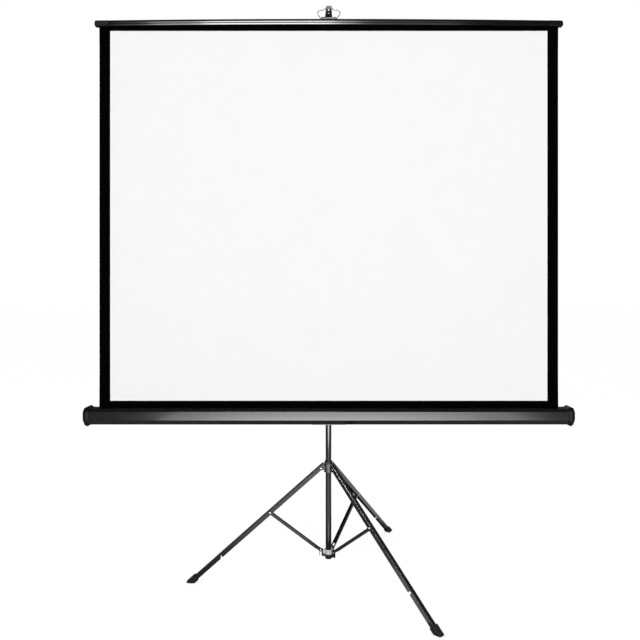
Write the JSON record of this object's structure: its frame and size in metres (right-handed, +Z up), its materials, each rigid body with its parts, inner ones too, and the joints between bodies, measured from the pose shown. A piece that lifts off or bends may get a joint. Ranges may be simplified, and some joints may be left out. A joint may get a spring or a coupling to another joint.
{
  "type": "tripod projector screen",
  "caption": "Portable projection screen: a roller case on a folding tripod, its matte white, black-edged fabric held up by a telescoping mast with a hook arm.",
  "frame": {"origin": "on the floor, midway between the front foot and the rear foot, under the middle of the case; the column axis stands 23.5 mm in front of it, at y = -23.5 mm", "axes": "+Z up along the column, +X along the case to the viewer's right, -Y the way the viewing surface faces"},
  "size_m": [1.7156, 0.8134, 2.0214],
  "materials": {
    "black_enamel": "gloss",
    "grey_casting": "satin",
    "bright_steel": "polished",
    "roller_steel": "satin",
    "black_plastic": "gloss",
    "guide_plastic": "matte",
    "foot_rubber": "matte",
    "black_backing": "matte",
    "matte_white": "matte"
  },
  "bodies": {
    "column": {"column_tube": "black_enamel", "column_plug": "guide_plastic", "column_cap": "black_plastic", "lower_hub": "grey_casting"},
    "lock_button": {"mast_lock_button": "guide_plastic"},
    "collar": {"leg_collar": "grey_casting", "collar_bush": "guide_plastic", "leg_pivot_left": "bright_steel", "leg_pivot_front": "bright_steel", "leg_pivot_rear": "bright_steel"},
    "left_leg": {"leg_left": "black_enamel", "foot_left": "foot_rubber", "strut_rivet_left": "bright_steel"},
    "left_strut": {"strut_left": "black_enamel", "hub_rivet_left": "bright_steel"},
    "front_leg": {"leg_front": "black_enamel", "foot_front": "foot_rubber", "strut_rivet_front": "bright_steel"},
    "front_strut": {"strut_front": "black_enamel", "hub_rivet_front": "bright_steel"},
    "rear_leg": {"leg_rear": "black_enamel", "foot_rear": "foot_rubber", "strut_rivet_rear": "bright_steel"},
    "rear_strut": {"strut_rear": "black_enamel", "hub_rivet_rear": "bright_steel"},
    "case": {"carriage": "black_enamel", "carriage_bush": "guide_plastic", "pivot_bolt": "bright_steel", "pivot_washer": "bright_steel", "saddle": "black_enamel", "saddle_screw_left": "bright_steel", "saddle_screw_right": "bright_steel", "housing": "black_enamel", "end_cap_left": "black_plastic", "end_cap_right": "black_plastic", "cap_screw_left": "bright_steel", "cap_screw_right": "bright_steel", "roller_bracket_left": "roller_steel", "roller_bracket_right": "roller_steel"},
    "clamp": {"clamp_knob": "black_plastic", "clamp_stud": "bright_steel"},
    "roller": {"roller_tube": "roller_steel", "fabric_roll": "black_backing", "roller_plug_left": "guide_plastic", "roller_plug_right": "guide_plastic"},
    "mast": {"mast_tube": "bright_steel", "mast_glide": "guide_plastic", "mast_hook": "black_enamel"},
    "rail": {"top_rail": "black_enamel", "rail_cap_left": "black_plastic", "rail_cap_right": "black_plastic", "bail_clamp": "bright_steel", "screen_backing": "black_backing", "viewing_surface": "matte_white"},
    "bail": {"bail_wire": "bright_steel"}
  },
  "joints": [
    {"name": "leg_fold", "type": "slide", "parent": "column", "child": "collar", "axis": [0, 0, 1], "range_m": [0, 0.17305]},
    {"name": "left_leg_hinge", "type": "hinge", "parent": "collar", "child": "left_leg", "pos_m": [-0.02791, -0.0257, 0.3955], "axis": [0.0785, -0.9969, 0], "range_deg": [0, 49.47]},
    {"name": "left_strut_hinge", "type": "hinge", "parent": "left_leg", "child": "left_strut", "pos_m": [-0.20936, -0.03998, 0.23983], "axis": [0.0785, -0.9969, 0], "range_deg": [-101.7, 0]},
    {"name": "front_leg_hinge", "type": "hinge", "parent": "collar", "child": "front_leg", "pos_m": [0.01863, -0.04441, 0.3955], "axis": [0.7466, 0.6652, 0], "range_deg": [0, 49.47]},
    {"name": "front_strut_hinge", "type": "hinge", "parent": "front_leg", "child": "front_strut", "pos_m": [0.1397, -0.1803, 0.23983], "axis": [0.7466, 0.6652, 0], "range_deg": [-101.7, 0]},
    {"name": "rear_leg_hinge", "type": "hinge", "parent": "collar", "child": "rear_leg", "pos_m": [0.01513, 0.00006, 0.3955], "axis": [-0.8415, 0.5402, 0], "range_deg": [0, 49.47]},
    {"name": "rear_strut_hinge", "type": "hinge", "parent": "rear_leg", "child": "rear_strut", "pos_m": [0.11346, 0.15322, 0.23983], "axis": [-0.8415, 0.5402, 0], "range_deg": [-101.7, 0]},
    {"name": "case_height", "type": "slide", "parent": "column", "child": "case", "axis": [0, 0, 1], "range_m": [0, 0.3]},
    {"name": "knob_turn", "type": "hinge", "parent": "case", "child": "clamp", "pos_m": [0, 0.0065, 0.615], "axis": [0, 1, 0], "range_deg": [0, 360]},
    {"name": "mast_slide", "type": "slide", "parent": "case", "child": "mast", "axis": [0, 0, 1], "range_m": [-0.72, 0]},
    {"name": "rail_slide", "type": "slide", "parent": "case", "child": "rail", "axis": [0, 0, 1], "range_m": [-0.72, 0], "deforming": ["screen_backing", "viewing_surface"]},
    {"name": "roller_turn", "type": "hinge", "parent": "case", "child": "roller", "pos_m": [0, -0.0835, 0.597], "axis": [1, 0, 0], "range_deg": [0, 2579]},
    {"name": "bail_swing", "type": "hinge", "parent": "rail", "child": "bail", "pos_m": [0, -0.0995, 1.9839], "axis": [1, 0, 0], "range_deg": [-6, 6]},
    {"name": "lock_press", "type": "slide", "parent": "column", "child": "lock_button", "axis": [0, -1, 0], "range_m": [0, 0.002], "stiffness_N_per_m": 400, "springref_m": -0.002}
  ],
  "couplings": [
    {"joint": "left_leg_hinge", "follows": "leg_fold", "rad_per_m": 4.9884},
    {"joint": "left_strut_hinge", "follows": "leg_fold", "rad_per_m": -10.256},
    {"joint": "front_leg_hinge", "follows": "leg_fold", "rad_per_m": 4.9884},
    {"joint": "front_strut_hinge", "follows": "leg_fold", "rad_per_m": -10.256},
    {"joint": "rear_leg_hinge", "follows": "leg_fold", "rad_per_m": 4.9884},
    {"joint": "rear_strut_hinge", "follows": "leg_fold", "rad_per_m": -10.256},
    {"joint": "rail_slide", "follows": "mast_slide", "ratio": 1},
    {"joint": "roller_turn", "follows": "mast_slide", "rad_per_m": -62.5}
  ]
}
